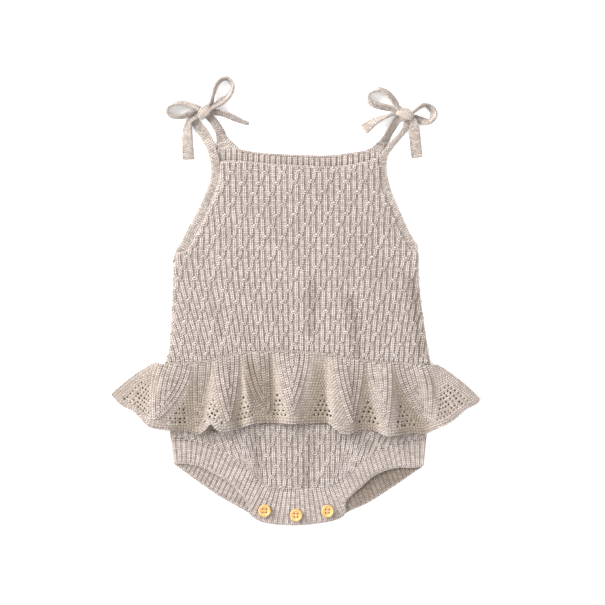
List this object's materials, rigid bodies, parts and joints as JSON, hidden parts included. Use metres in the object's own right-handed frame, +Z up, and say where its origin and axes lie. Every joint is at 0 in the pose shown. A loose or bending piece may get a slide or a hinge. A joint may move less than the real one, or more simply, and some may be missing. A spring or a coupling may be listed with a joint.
{
  "type": "knitted baby romper",
  "caption": "Sleeveless knitted baby romper with crossed ribs, tied shoulder bows, a fluted lace peplum at the waist and a buttoned ribbed crotch band, laid flat with its front up.",
  "frame": {"origin": "middle of the garment's width and length, on the flat surface under its back", "axes": "+Z up out of the front, +Y from the crotch to the shoulder bows, +X to the right of the picture, which is the wearer's left"},
  "size_m": [0.36, 0.437, 0.0183],
  "materials": {
    "body_knit": "oatmeal cotton knit with crossed ribs, matt",
    "rib_knit": "oatmeal cotton in one-by-one rib, matt",
    "lace_knit": "oatmeal cotton lace knit with leaf fans and eyelets, matt",
    "tape_knit": "fine oatmeal cotton knit tape, matt",
    "honey_wood": "honey-coloured turned wood with a thin satin varnish"
  },
  "bodies": {
    "root": {"front_bodice": "body_knit", "back_bodice": "body_knit", "front_brief": "body_knit", "back_brief": "body_knit", "waist_welt": "body_knit", "front_rib_band": "rib_knit", "back_rib_band": "rib_knit", "front_peplum": "lace_knit", "back_peplum": "lace_knit", "front_strap_left": "tape_knit", "front_strap_right": "tape_knit", "back_strap_left": "tape_knit", "back_strap_right": "tape_knit", "loop_upper_left": "tape_knit", "loop_side_left": "tape_knit", "loop_side_right": "tape_knit", "loop_back_right": "tape_knit", "tail_side_left": "tape_knit", "tail_down_left": "tape_knit", "tail_side_right": "tape_knit", "tail_down_right": "tape_knit", "knot_left": "tape_knit", "knot_right": "tape_knit", "button_left": "honey_wood", "button_middle": "honey_wood", "button_right": "honey_wood"}
  },
  "joints": []
}
